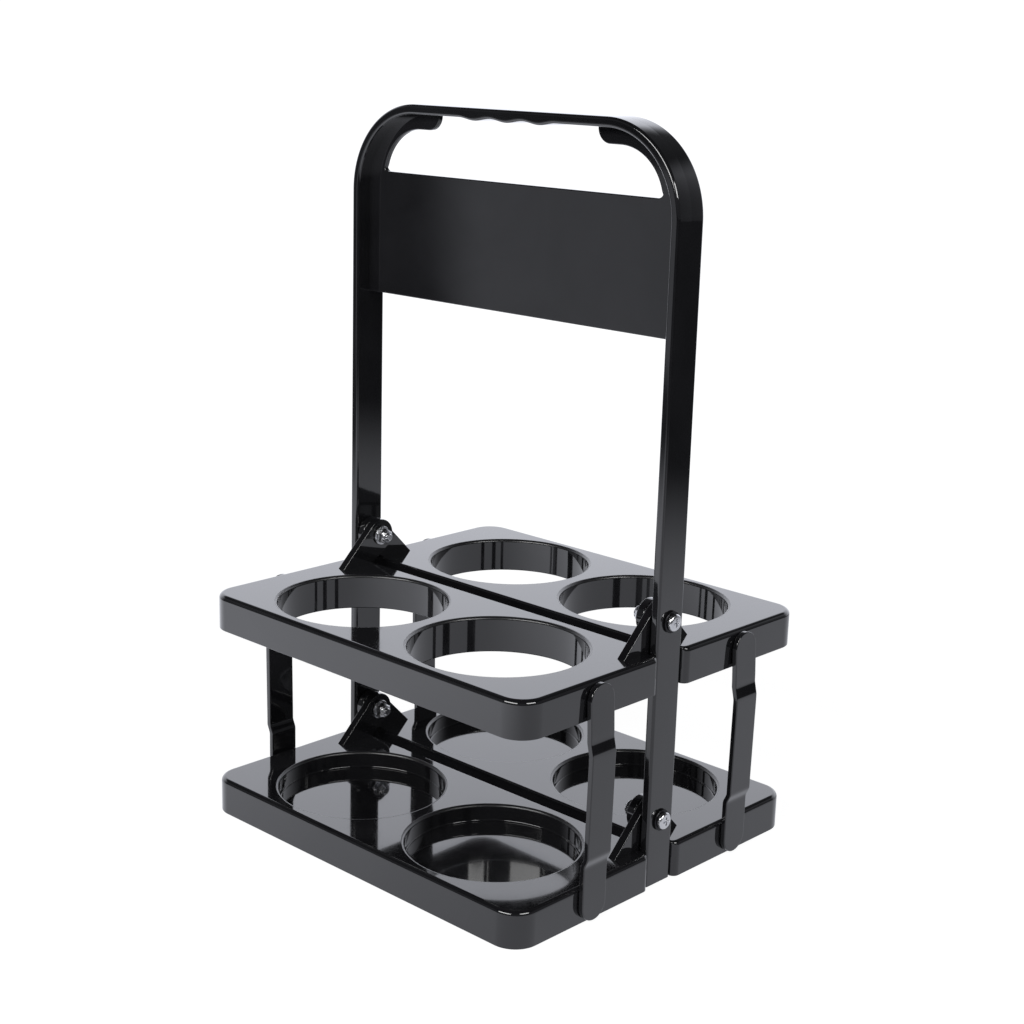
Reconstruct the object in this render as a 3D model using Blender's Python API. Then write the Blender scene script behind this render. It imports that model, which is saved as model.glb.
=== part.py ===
"""A folding drink carrier for four cups, moulded in black plastic.

An arched frame carries two pairs of tray halves, one pair above the other.
Each half swings on two cross bolts through the posts of the frame, and four
side links hang the lower halves from the upper ones, so that a front pair and
a back pair each fold up against the frame together.

The carrier stands on the floor at z = 0, with its handle along X, its front
half towards -Y and its origin below the middle of the handle.
"""

import math

import bmesh
import bpy
from mathutils import Matrix, Vector

# Fits
GAP = 0.0003
STOP_GAP = 0.00035
EAR_GAP = 0.0004
OVERRUN = 0.002

# Cups: collared holes in the upper trays and flat seats in the lower ones
CUP_DIAMETER = 0.082
CUP_GAP = 0.0086
CUP_END_MARGIN = 0.0187
CUP_OUTER_MARGIN = 0.0061
CUP_INNER_MARGIN = 0.0059
CUP_RIM_FILLET = 0.0015
CUP_COLLAR = 0.0015
CUP_DEPTH = 0.0084
CUP_FLOOR = 0.0016

# Tray halves, as wide and deep as the cups and their margins
TRAY_INNER_EDGE = 0.0044
TRAY_HEIGHT = 0.0176
TRAY_CORNER_RADIUS = 0.0125
TRAY_END_RADIUS = 0.0035
TRAY_OUTER_FILLET = 0.0024
TRAY_INNER_FILLET = 0.001
TRAY_SKIRT = 0.0024
TRAY_PLATE = 0.0024
LEVEL_SPACING_CUT = 0.0028

# Frame: two posts and the arch between them, one moulded rim
FRAME_HEIGHT = 0.346
FRAME_DEPTH = 0.0178
POST_INSET = 0.0024
RIM_THICKNESS = 0.0046
RIM_EDGE_RADIUS = 0.0014
ARCH_RADIUS = 0.0425

# Grip: the middle of the arch, with finger bumps below
BUMP_COUNT = 3
BUMP_PITCH = 0.0202
BUMP_HEIGHT = 0.0012

# Web: the flat panel and the hand opening above it
WEB_THICKNESS = 0.0026
PANEL_HEIGHT = 0.0598
OPENING_HEIGHT = 0.0211
OPENING_TOP_WEB = 0.012
OPENING_SIDE_WEB = 0.0104
OPENING_RADIUS = 0.025
OPENING_FOOT_RADIUS = 0.003
WEB_TIP_INSET = 0.0485
WEB_TIP_RADIUS = 0.007

# Ears: the upright lugs that hang each half on its bolts
EAR_RISE = 0.014
EAR_RADIUS = 0.0082
EAR_THICKNESS = 0.0042
EAR_ROOT = 0.0012

# Bolts
BOLT_DIAMETER = 0.004
BOLT_HEAD_DIAMETER = 0.0081
BOLT_HEAD_HEIGHT = 0.0021
BOLT_HEAD_ROUND = 0.0009
BOLT_TIP_CHAMFER = 0.0004
BOLT_TIP_LENGTH = 0.001
DRIVE_SPAN = 0.0044
DRIVE_WIDTH = 0.0009
DRIVE_DEPTH = 0.0013
OUTER_WASHER_DIAMETER = 0.0102
OUTER_WASHER_THICKNESS = 0.0008
INNER_WASHER_DIAMETER = 0.0098
INNER_WASHER_THICKNESS = 0.0008
NUT_FLATS = 0.007
NUT_HEIGHT = 0.0031
NUT_COLLAR_DIAMETER = 0.0062
NUT_COLLAR_HEIGHT = 0.001

# Links: the side straps between the two tray levels
LINK_WIDTH = 0.0154
LINK_THICKNESS = 0.0026
LINK_SEAT_GAP = 0.0004
LINK_UPPER_LEAN = 0.0011
LINK_STEP = 0.0014
LINK_MIDDLE_LEAN = 0.0006
LINK_UPPER_STEP_FALL = 0.0173
LINK_UPPER_STEP_LENGTH = 0.007
LINK_LOWER_STEP_RISE = 0.0238
LINK_LOWER_STEP_LENGTH = 0.0047
PIN_DIAMETER = 0.006
PIN_HEAD_DIAMETER = 0.0076
PIN_HEAD_LENGTH = 0.0012

# Facets
CUP_FACETS = 40
BOLT_FACETS = 16
PIN_FACETS = 12
CORNER_STEPS = 5
END_STEPS = 2
FILLET_STEPS = 2
RIM_EDGE_STEPS = 2
ARCH_STEPS = 10
BUMP_STEPS = 6
LINK_END_STEPS = 5
LINK_STEP_STEPS = 3
SHARP_ANGLE = math.radians(32)

# Places that follow from the sizes
CUP_RADIUS = CUP_DIAMETER / 2
CUP_CENTRE_SIDE = CUP_GAP / 2 + CUP_RADIUS
CUP_CENTRE_REACH = TRAY_INNER_EDGE + CUP_INNER_MARGIN + CUP_RADIUS
TRAY_END = CUP_CENTRE_SIDE + CUP_RADIUS + CUP_END_MARGIN
TRAY_REACH = CUP_CENTRE_REACH + CUP_RADIUS + CUP_OUTER_MARGIN
LEVEL_SPACING = TRAY_REACH - LEVEL_SPACING_CUT
POST_OUTER = TRAY_END - POST_INSET
POST_INNER = POST_OUTER - RIM_THICKNESS
OPENING_SIDE = POST_INNER - OPENING_SIDE_WEB
OPENING_TOP = FRAME_HEIGHT - OPENING_TOP_WEB
PANEL_TOP = OPENING_TOP - OPENING_HEIGHT
PANEL_BOTTOM = PANEL_TOP - PANEL_HEIGHT
BOLT_CLEARANCE = BOLT_DIAMETER / 2 + GAP
PIN_CLEARANCE = PIN_DIAMETER / 2 + GAP
LOWER_AXIS_HEIGHT = TRAY_HEIGHT + EAR_RISE
UPPER_AXIS_HEIGHT = LOWER_AXIS_HEIGHT + LEVEL_SPACING
TRAY_TOP = -EAR_RISE
TRAY_BOTTOM = TRAY_TOP - TRAY_HEIGHT
TRAY_MIDDLE = TRAY_TOP - TRAY_HEIGHT / 2
NOTCH_EDGE = POST_INNER - GAP
OUTER_EAR = POST_INNER - EAR_GAP
INNER_EAR = OUTER_EAR - EAR_THICKNESS - GAP
NUT_SEAT = INNER_EAR - EAR_THICKNESS - 2 * GAP - INNER_WASHER_THICKNESS
HEAD_SEAT = POST_OUTER + 2 * GAP + OUTER_WASHER_THICKNESS


def black_plastic():
    """Glossy black moulding plastic."""
    material = bpy.data.materials.new("black_plastic")
    material.use_nodes = True
    shader = material.node_tree.nodes["Principled BSDF"]
    shader.inputs["Base Color"].default_value = (0.012, 0.012, 0.014, 1)
    shader.inputs["Roughness"].default_value = 0.12
    return material


def black_washer_metal():
    """Blackened steel of the washers under the bolt heads."""
    material = bpy.data.materials.new("black_washer_metal")
    material.use_nodes = True
    shader = material.node_tree.nodes["Principled BSDF"]
    shader.inputs["Base Color"].default_value = (0.03, 0.03, 0.032, 1)
    shader.inputs["Metallic"].default_value = 1
    shader.inputs["Roughness"].default_value = 0.35
    return material


def zinc_plate():
    """Bright zinc plating of the bolts, nuts and inner washers."""
    material = bpy.data.materials.new("zinc_plate")
    material.use_nodes = True
    shader = material.node_tree.nodes["Principled BSDF"]
    shader.inputs["Base Color"].default_value = (0.72, 0.72, 0.74, 1)
    shader.inputs["Metallic"].default_value = 1
    shader.inputs["Roughness"].default_value = 0.25
    return material


def arc(centre_x, centre_y, radius_x, radius_y, start, end, steps):
    """Points along a round stretch between two angles in degrees, ends included."""
    points = []
    for step in range(steps + 1):
        angle = math.radians(start + (end - start) * step / steps)
        points.append((centre_x + radius_x * math.cos(angle), centre_y + radius_y * math.sin(angle)))
    return points


def mirrored(points):
    """A right-hand run of points, followed by its mirror image on the left."""
    return points + [(-x, y) for x, y in reversed(points)]


def finished_mesh(name, build):
    """A mesh from a bmesh, with every face turned outwards."""
    bmesh.ops.recalc_face_normals(build, faces=build.faces)
    mesh = bpy.data.meshes.new(name)
    build.to_mesh(mesh)
    build.free()
    return mesh


def stacked(name, rings):
    """A closed solid through a stack of rings that have equal numbers of points."""
    build = bmesh.new()
    rows = [[build.verts.new(point) for point in ring] for ring in rings]
    for lower, upper in zip(rows, rows[1:]):
        for index in range(len(lower)):
            after = (index + 1) % len(lower)
            build.faces.new((lower[index], lower[after], upper[after], upper[index]))
    build.faces.new(rows[0])
    build.faces.new(rows[-1])
    return finished_mesh(name, build)


def extruded(name, outline, travel):
    """A closed outline of points in space, drawn out along a vector."""
    build = bmesh.new()
    face = build.faces.new([build.verts.new(point) for point in outline])
    grown = bmesh.ops.extrude_face_region(build, geom=[face])
    far_end = [item for item in grown["geom"] if isinstance(item, bmesh.types.BMVert)]
    bmesh.ops.translate(build, verts=far_end, vec=travel)
    return finished_mesh(name, build)


def turned(name, profile, axis, facets, is_ring=False):
    """A run of (radius, place along the axis) pairs spun round the axis, its flat ends filled."""
    side = Vector((0, 0, 1)) if axis.x else Vector((1, 0, 0))
    build = bmesh.new()
    points = [build.verts.new(side * radius + axis * place) for radius, place in profile]
    edges = [build.edges.new(pair) for pair in zip(points, points[1:])]
    if is_ring:
        edges.append(build.edges.new((points[-1], points[0])))
    bmesh.ops.spin(
        build, geom=points + edges, axis=axis, cent=(0, 0, 0),
        angle=2 * math.pi, steps=facets, use_merge=True,
    )
    bmesh.ops.holes_fill(build, edges=[edge for edge in build.edges if edge.is_boundary])
    return finished_mesh(name, build)


def rod(name, radius, start, end, axis, facets):
    """A plain cylinder along an axis."""
    return turned(name, [(radius, start), (radius, end)], axis, facets)


def moved(mesh, place):
    """The same mesh, shifted."""
    mesh.transform(Matrix.Translation(place))
    return mesh


def carved(name, base, joined, removed):
    """The base mesh with other meshes joined to it and then cut out of it."""
    scene = bpy.context.scene.collection.objects
    target = bpy.data.objects.new(name, base)
    scene.link(target)
    helpers = []
    for operation, meshes in (("UNION", joined), ("DIFFERENCE", removed)):
        for mesh in meshes:
            helper = bpy.data.objects.new(mesh.name, mesh)
            helper.display_type = "WIRE"
            helper.hide_render = True
            scene.link(helper)
            helpers.append(helper)
            modifier = target.modifiers.new(mesh.name, "BOOLEAN")
            modifier.operation = operation
            modifier.object = helper
    bpy.context.view_layer.update()
    graph = bpy.context.evaluated_depsgraph_get()
    result = bpy.data.meshes.new_from_object(target.evaluated_get(graph))
    result.name = name
    for item in [target] + helpers:
        bpy.data.objects.remove(item)
    return result


def place(name, mesh, material, location, half_turn=False):
    """An object of its own for one piece, turned about Z for a piece that faces the other way."""
    mesh.shade_smooth()
    mesh.set_sharp_from_angle(angle=SHARP_ANGLE)
    mesh.materials.clear()
    mesh.materials.append(material)
    piece = bpy.data.objects.new(name, mesh)
    piece.location = location
    piece.rotation_euler = (0, 0, math.pi if half_turn else 0)
    bpy.context.scene.collection.objects.link(piece)
    return piece


def fillet_inset(radius, below_top):
    """How far a quarter-round edge has drawn in at a depth below its top."""
    if below_top >= radius:
        return 0
    return radius - math.sqrt(radius ** 2 - (radius - below_top) ** 2)


def tray_outline(outer_inset, inner_inset):
    """One tray half from above, with a notch round the post at each end of its inner edge."""
    notch = NOTCH_EDGE - inner_inset
    end = FRAME_DEPTH / 2 + STOP_GAP
    points = [(notch, -TRAY_INNER_EDGE - inner_inset), (notch, -end - inner_inset)]
    points += arc(
        TRAY_END - TRAY_END_RADIUS, -end - TRAY_END_RADIUS,
        TRAY_END_RADIUS - outer_inset, TRAY_END_RADIUS - inner_inset, 90, 0, END_STEPS,
    )
    points += arc(
        TRAY_END - TRAY_CORNER_RADIUS, TRAY_CORNER_RADIUS - TRAY_REACH,
        TRAY_CORNER_RADIUS - outer_inset, TRAY_CORNER_RADIUS - outer_inset, 0, -90, CORNER_STEPS,
    )
    return mirrored(points)


def tray_shell():
    """The plate and skirt of a tray half, its top edges rounded, solid for now."""
    rings = [[(x, y, TRAY_BOTTOM) for x, y in tray_outline(0, 0)]]
    for step in range(FILLET_STEPS + 1):
        below_top = TRAY_OUTER_FILLET * (1 - math.sin(math.pi / 2 * step / FILLET_STEPS))
        outer = fillet_inset(TRAY_OUTER_FILLET, below_top)
        inner = fillet_inset(TRAY_INNER_FILLET, below_top)
        rings.append([(x, y, TRAY_TOP - below_top) for x, y in tray_outline(outer, inner)])
    return stacked("tray_shell", rings)


def tray_hollow():
    """The space under the plate, inside the skirt."""
    outline = tray_outline(TRAY_SKIRT, TRAY_SKIRT)
    levels = (TRAY_BOTTOM - OVERRUN, TRAY_TOP - TRAY_PLATE)
    return stacked("tray_hollow", [[(x, y, level) for x, y in outline] for level in levels])


def ear(name, outer_face):
    """An upright lug: a disc round the bolt, a slope down to the plate and a root inside it."""
    foot = EAR_RISE + EAR_RADIUS * math.sqrt(2)
    heel = TRAY_INNER_EDGE + TRAY_INNER_FILLET + GAP
    lean = math.asin(EAR_RADIUS / math.hypot(heel, EAR_RISE)) + math.atan2(heel, EAR_RISE)
    disc = arc(0, 0, EAR_RADIUS, EAR_RADIUS, 45, 180 + math.degrees(lean), 2 * CORNER_STEPS)
    root = TRAY_TOP - EAR_ROOT
    outline = [(heel, TRAY_TOP), (heel, root), (foot, root), (foot, TRAY_TOP)] + disc
    points = [(outer_face, -reach, height) for reach, height in outline]
    return extruded(name, points, (-EAR_THICKNESS, 0, 0))


def cup_cutter(name, side, bottom):
    """The bore of one cup, flared at its rim."""
    mouth = CUP_RADIUS + CUP_RIM_FILLET
    flare = arc(
        mouth, TRAY_TOP - CUP_RIM_FILLET,
        CUP_RIM_FILLET, CUP_RIM_FILLET, 180, 90, FILLET_STEPS,
    )
    profile = [(CUP_RADIUS, bottom)] + flare + [(mouth, TRAY_TOP + OVERRUN)]
    cutter = turned(name, profile, Vector((0, 0, 1)), CUP_FACETS)
    return moved(cutter, (side * CUP_CENTRE_SIDE, -CUP_CENTRE_REACH, 0))


def cup_collar(name, side, bottom):
    """The round wall of one cup before it is bored, rooted in the plate."""
    radius = CUP_RADIUS + CUP_COLLAR
    collar = rod(name, radius, bottom, TRAY_TOP - TRAY_PLATE / 2, Vector((0, 0, 1)), CUP_FACETS)
    return moved(collar, (side * CUP_CENTRE_SIDE, -CUP_CENTRE_REACH, 0))


def tray_half(name, collar_bottom, cup_bottom):
    """A front tray half about its bolt axis. The back half is the same moulding turned round."""
    cross = Vector((1, 0, 0))
    joined = [ear("left_ear", EAR_THICKNESS - INNER_EAR), ear("right_ear", OUTER_EAR)]
    removed = [rod("bolt_bore", BOLT_CLEARANCE, -TRAY_END, TRAY_END, cross, BOLT_FACETS)]
    for side in (-1, 1):
        joined.append(cup_collar("collar", side, collar_bottom))
        removed.append(cup_cutter("cup", side, cup_bottom))
        start = side * (TRAY_END - TRAY_SKIRT - OVERRUN)
        bore = rod("pin_bore", PIN_CLEARANCE, start, side * (TRAY_END + OVERRUN), cross, PIN_FACETS)
        removed.append(moved(bore, (0, -CUP_CENTRE_REACH, TRAY_MIDDLE)))
    hollowed = carved("hollowed_tray", tray_shell(), [], [tray_hollow()])
    return carved(name, hollowed, joined, removed)


def grip_thickness(x):
    """The rim's thickness along the handle, with the finger bumps in the middle."""
    if abs(x) > BUMP_COUNT * BUMP_PITCH / 2:
        return RIM_THICKNESS
    return RIM_THICKNESS + BUMP_HEIGHT * (1 + math.cos(2 * math.pi * x / BUMP_PITCH)) / 2


def rim_outline(inset):
    """The rim from the front: up one post, over the arch, down the other and back inside."""
    shoulder = POST_OUTER - ARCH_RADIUS
    spring = FRAME_HEIGHT - ARCH_RADIUS
    outer = ARCH_RADIUS - inset
    inner = ARCH_RADIUS - RIM_THICKNESS + inset
    outside = [(POST_OUTER - inset, inset)] + arc(shoulder, spring, outer, outer, 0, 90, ARCH_STEPS)
    inside = [(POST_INNER + inset, inset)] + arc(shoulder, spring, inner, inner, 0, 90, ARCH_STEPS)
    bumps = []
    for step in range(BUMP_COUNT * BUMP_STEPS + 1):
        x = BUMP_PITCH * (step / BUMP_STEPS - BUMP_COUNT / 2)
        bumps.append((x, FRAME_HEIGHT - grip_thickness(x) + inset))
    underside = [(-x, z) for x, z in inside] + bumps + list(reversed(inside))
    return mirrored(outside)[::-1] + underside[::-1]


def frame_rim():
    """The posts and arch, with their front and back edges rounded."""
    rings = []
    for side in (-1, 1):
        for step in range(RIM_EDGE_STEPS + 1):
            turn = math.pi / 2 * (step if side < 0 else RIM_EDGE_STEPS - step) / RIM_EDGE_STEPS
            inset = RIM_EDGE_RADIUS * (1 - math.sin(turn))
            depth = RIM_EDGE_RADIUS * (1 - math.cos(turn))
            rings.append([(x, side * (FRAME_DEPTH / 2 - depth), z) for x, z in rim_outline(inset)])
    return stacked("rim", rings)


def frame_web():
    """The flat panel and the webs beside the hand opening, reaching into the rim's thickness."""
    middle = RIM_THICKNESS / 2
    edge = POST_OUTER - middle
    shoulder = POST_OUTER - ARCH_RADIUS
    spring = FRAME_HEIGHT - ARCH_RADIUS
    bend = ARCH_RADIUS - middle
    tip = POST_INNER - WEB_TIP_INSET
    corner = OPENING_SIDE - OPENING_RADIUS
    foot = OPENING_SIDE - OPENING_FOOT_RADIUS
    points = [(edge, PANEL_BOTTOM)] + arc(shoulder, spring, bend, bend, 0, 90, ARCH_STEPS)
    points.append((tip, FRAME_HEIGHT - middle))
    points += arc(
        tip + WEB_TIP_RADIUS, OPENING_TOP + WEB_TIP_RADIUS,
        WEB_TIP_RADIUS, WEB_TIP_RADIUS, 180, 270, CORNER_STEPS,
    )
    centre = OPENING_TOP - OPENING_RADIUS
    lowest = math.asin((PANEL_TOP + OPENING_FOOT_RADIUS - centre) / OPENING_RADIUS)
    points += arc(
        corner, centre,
        OPENING_RADIUS, OPENING_RADIUS, 90, math.degrees(lowest), ARCH_STEPS,
    )
    points += arc(
        foot, PANEL_TOP + OPENING_FOOT_RADIUS,
        OPENING_FOOT_RADIUS, OPENING_FOOT_RADIUS, 0, -90, END_STEPS,
    )[1:]
    outline = [(x, -WEB_THICKNESS / 2, z) for x, z in mirrored(points)]
    return extruded("web", outline, (0, WEB_THICKNESS, 0))


def handle_frame():
    """The whole frame with its four bolt holes."""
    bores = []
    for height in (LOWER_AXIS_HEIGHT, UPPER_AXIS_HEIGHT):
        end = POST_OUTER + OVERRUN
        bore = rod("bolt_bore", BOLT_CLEARANCE, -end, end, Vector((1, 0, 0)), BOLT_FACETS)
        bores.append(moved(bore, (0, 0, height)))
    return carved("handle_frame", frame_rim(), [frame_web()], bores)


def link_stations():
    """How far below the upper pivot the strap bends, and its stand-off from the tray there."""
    end = LINK_WIDTH / 2
    upper = LINK_SEAT_GAP + LINK_UPPER_LEAN
    lower_step = LEVEL_SPACING - LINK_LOWER_STEP_RISE
    return (
        (-end, LINK_SEAT_GAP),
        (LINK_UPPER_STEP_FALL, upper),
        (LINK_UPPER_STEP_FALL + LINK_UPPER_STEP_LENGTH, upper + LINK_STEP),
        (lower_step, upper + LINK_STEP - LINK_MIDDLE_LEAN),
        (lower_step + LINK_LOWER_STEP_LENGTH, LINK_SEAT_GAP),
        (LEVEL_SPACING + end, LINK_SEAT_GAP),
    )


def link_standoff(fall):
    """The stand-off of the strap's inner face, eased from one bend to the next."""
    stations = link_stations()
    for (start, near), (stop, far) in zip(stations, stations[1:]):
        if fall <= stop:
            share = (fall - start) / (stop - start)
            return near + (far - near) * share * share * (3 - 2 * share)
    return LINK_SEAT_GAP


def link_rows():
    """Places down the strap with its half width: a round end, the bends and a round end."""
    radius = LINK_WIDTH / 2
    round_end = []
    for step in range(1, LINK_END_STEPS + 1):
        angle = math.pi / 2 * step / LINK_END_STEPS
        round_end.append((radius * math.cos(angle), radius * math.sin(angle)))
    rows = [(-rise, half_width) for rise, half_width in round_end]
    bends = [fall for fall, standoff in link_stations()[1:-1]]
    for top, bottom in (bends[:2], bends[2:]):
        for step in range(LINK_STEP_STEPS + 1):
            rows.append((top + (bottom - top) * step / LINK_STEP_STEPS, radius))
    return rows + [(LEVEL_SPACING + rise, half_width) for rise, half_width in reversed(round_end)]


def link_strap():
    """The strap itself: a bent ribbon of even thickness with half-round ends."""
    build = bmesh.new()
    rows = []
    for fall, half_width in link_rows():
        inner = link_standoff(fall)
        outer = inner + LINK_THICKNESS
        corners = ((inner, -half_width), (inner, half_width), (outer, half_width), (outer, -half_width))
        rows.append([build.verts.new((x, y, -fall)) for x, y in corners])
    for upper, lower in zip(rows, rows[1:]):
        for index in range(len(upper)):
            after = (index + 1) % len(upper)
            build.faces.new((upper[index], upper[after], lower[after], lower[index]))
    build.faces.new(rows[0])
    build.faces.new(rows[-1])
    return finished_mesh("strap", build)


def link_pin(name, height):
    """A snap pin through the tray's skirt, with a wider head behind it."""
    back = -TRAY_SKIRT - GAP
    root = LINK_SEAT_GAP + LINK_THICKNESS / 2
    radius = PIN_DIAMETER / 2
    head = PIN_HEAD_DIAMETER / 2
    profile = [(radius, back - PIN_HEAD_LENGTH), (head, back), (radius, back), (radius, root)]
    return moved(turned(name, profile, Vector((1, 0, 0)), PIN_FACETS), (0, 0, height))


def side_link():
    """A right-hand link about its upper pivot, with x = 0 on the tray's side."""
    pins = [link_pin("upper_pin", 0), link_pin("lower_pin", -LEVEL_SPACING)]
    return carved("side_link", link_strap(), pins, [])


def bolt():
    """A pan-head machine screw with a cross drive, its head on +X and x = 0 under the head."""
    cross = Vector((1, 0, 0))
    head = BOLT_HEAD_DIAMETER / 2
    radius = BOLT_DIAMETER / 2
    tip = NUT_SEAT - NUT_HEIGHT - NUT_COLLAR_HEIGHT - BOLT_TIP_LENGTH - HEAD_SEAT
    profile = [(radius - BOLT_TIP_CHAMFER, tip), (radius, tip + BOLT_TIP_CHAMFER), (radius, 0), (head, 0)]
    profile += arc(
        head - BOLT_HEAD_ROUND, BOLT_HEAD_HEIGHT - BOLT_HEAD_ROUND,
        BOLT_HEAD_ROUND, BOLT_HEAD_ROUND, 0, 90, END_STEPS,
    )
    slots = []
    for width, height in ((DRIVE_SPAN, DRIVE_WIDTH), (DRIVE_WIDTH, DRIVE_SPAN)):
        right_side = [(width / 2, -height / 2), (width / 2, height / 2)]
        outline = [(BOLT_HEAD_HEIGHT - DRIVE_DEPTH, y, z) for y, z in mirrored(right_side)]
        slots.append(extruded("slot", outline, (DRIVE_DEPTH + OVERRUN, 0, 0)))
    return carved("bolt", turned("bolt_blank", profile, cross, BOLT_FACETS), [], slots)


def washer(name, diameter, thickness):
    """A flat ring, its inner face at x = 0."""
    inner = BOLT_CLEARANCE
    outer = diameter / 2
    profile = [(inner, 0), (outer, 0), (outer, thickness), (inner, thickness)]
    return turned(name, profile, Vector((1, 0, 0)), BOLT_FACETS, is_ring=True)


def nut():
    """A lock nut: a hexagon with a round collar, its seat at x = 0 and its collar towards -X."""
    cross = Vector((1, 0, 0))
    length = NUT_HEIGHT + NUT_COLLAR_HEIGHT
    collar = rod("collar", NUT_COLLAR_DIAMETER / 2, -length, -NUT_HEIGHT / 2, cross, BOLT_FACETS)
    corner = NUT_FLATS / math.sqrt(3)
    outline = [(0, y, z) for y, z in arc(0, 0, corner, corner, 0, 300, 5)]
    bore = rod("nut_bore", BOLT_CLEARANCE, -length - OVERRUN, OVERRUN, cross, BOLT_FACETS)
    return carved("nut", extruded("hexagon", outline, (-NUT_HEIGHT, 0, 0)), [collar], [bore])


def build_trays(plastic):
    """Four tray halves, two to a level, each with its origin on its bolt axis."""
    floor = TRAY_TOP - CUP_DEPTH
    upper = tray_half("upper_tray_half", TRAY_BOTTOM + GAP, TRAY_BOTTOM - OVERRUN)
    lower = tray_half("lower_tray_half", floor - CUP_FLOOR, floor)
    levels = (("upper", upper, UPPER_AXIS_HEIGHT), ("lower", lower, LOWER_AXIS_HEIGHT))
    for level, mesh, height in levels:
        place(level + "_front_tray", mesh, plastic, (0, 0, height))
        place(level + "_back_tray", mesh, plastic, (0, 0, height), half_turn=True)


def build_links(plastic):
    """Four side links, each with its origin on its upper pivot."""
    mesh = side_link()
    height = UPPER_AXIS_HEIGHT + TRAY_MIDDLE
    for hand, side in (("left", -1), ("right", 1)):
        for end, reach in (("front", -CUP_CENTRE_REACH), ("back", CUP_CENTRE_REACH)):
            location = (side * TRAY_END, reach, height)
            place(end + "_" + hand + "_link", mesh, plastic, location, half_turn=side < 0)


def build_fasteners(zinc, blackened):
    """A bolt, two washers and a nut at each of the four joints."""
    outer_ring = washer("outer_washer", OUTER_WASHER_DIAMETER, OUTER_WASHER_THICKNESS)
    inner_ring = washer("inner_washer", INNER_WASHER_DIAMETER, INNER_WASHER_THICKNESS)
    pieces = (
        ("bolt", bolt(), zinc, HEAD_SEAT),
        ("outer_washer", outer_ring, blackened, POST_OUTER + GAP),
        ("inner_washer", inner_ring, zinc, NUT_SEAT + GAP),
        ("nut", nut(), zinc, NUT_SEAT),
    )
    for level, height in (("upper", UPPER_AXIS_HEIGHT), ("lower", LOWER_AXIS_HEIGHT)):
        for hand, side in (("left", -1), ("right", 1)):
            for name, mesh, material, seat in pieces:
                location = (side * seat, 0, height)
                place(level + "_" + hand + "_" + name, mesh, material, location, half_turn=side < 0)


def build_carrier():
    """The whole carrier, on the floor."""
    for item in list(bpy.data.objects):
        bpy.data.objects.remove(item)
    plastic = black_plastic()
    place("handle_frame", handle_frame(), plastic, (0, 0, 0))
    build_trays(plastic)
    build_links(plastic)
    build_fasteners(zinc_plate(), black_washer_metal())


build_carrier()
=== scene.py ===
"""Looks of a folding drink carrier in glossy black plastic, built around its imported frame.

Shapes are worked out in millimetres and written to the meshes in metres.
"""

import math

import bmesh
import bpy
import numpy as np
from mathutils import Matrix


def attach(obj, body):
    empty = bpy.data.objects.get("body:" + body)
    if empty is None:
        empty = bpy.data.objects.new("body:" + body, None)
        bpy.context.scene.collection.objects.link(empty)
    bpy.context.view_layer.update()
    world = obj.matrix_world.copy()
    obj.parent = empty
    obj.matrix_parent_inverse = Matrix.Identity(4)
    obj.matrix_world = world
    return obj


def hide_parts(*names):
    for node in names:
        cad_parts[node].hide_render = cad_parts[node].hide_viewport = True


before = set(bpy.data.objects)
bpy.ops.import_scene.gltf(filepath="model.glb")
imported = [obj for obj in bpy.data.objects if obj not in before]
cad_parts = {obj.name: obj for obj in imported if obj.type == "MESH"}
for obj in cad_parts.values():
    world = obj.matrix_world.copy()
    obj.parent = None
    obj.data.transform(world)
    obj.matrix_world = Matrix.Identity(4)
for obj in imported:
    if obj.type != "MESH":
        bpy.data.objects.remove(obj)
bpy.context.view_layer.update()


# Handle frame
# One black moulding: two flat posts that stand on the floor, the arch with its finger
# grip, the bare panel under it and the curved webs beside the hand opening. Its edges
# are rounded all round, and a fine parting line runs along the middle of the rim.

MM = 0.001
frame_height = 346.0
frame_depth = 17.8
post_outer = 102.6
post_inner = 98.0
rim_edge_radius = 1.4
rim_edge_steps = 6
parting_line_width = 0.16
parting_line_depth = 0.05
arch_radius = 42.5
arch_centre = (post_outer - arch_radius, frame_height - arch_radius)
arch_steps = 64
grip_bumps = 3
grip_pitch = 20.2
grip_bump_height = 1.2
grip_points = 33
web_thickness = 2.6
web_edge_radius = 0.5
web_edge_steps = 4
web_root = 1.8
web_arc_steps = 30
panel_bottom = 253.1
panel_top = 312.9
opening_top = 334.0
opening_side = 87.6
opening_radius = 25.0
opening_foot_radius = 3.0
opening_foot_steps = 10
foot_steps_hidden = 3
web_tip = 49.5
web_tip_radius = 7.0
web_tip_steps = 14
axis_heights = {"upper": 127.2, "lower": 31.6}
bolt_hole_radius = 2.3
bolt_hole_reach = (90, 110)
hole_facets = 32
same_point = 1e-6
merge_distance = 1e-7
crease_angle = 35
flat_weight = 100
plastic_dark = (0.0075, 0.0075, 0.0085)
plastic_light = (0.0125, 0.0125, 0.014)
plastic_refraction = 1.5


def arc(centre, radius, start, end, steps):
    """Points on a circle: its centre plus the radius times the cosine and sine of even angles."""
    turn = np.radians(np.linspace(start, end, steps + 1))
    return np.stack([centre[0] + radius * np.cos(turn), centre[1] + radius * np.sin(turn)], axis=1)


def joined_runs(*runs):
    """Runs of points laid end to end, each point once."""
    points = np.concatenate([np.asarray(run, float) for run in runs])
    step = np.linalg.norm(np.diff(points, axis=0), axis=1)
    return points[np.concatenate([[True], step > same_point])]


def mirrored(run):
    """A right-hand run, followed by the same run backwards with its first number negated."""
    return np.concatenate([run, run[::-1] * (-1, 1)])


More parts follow.
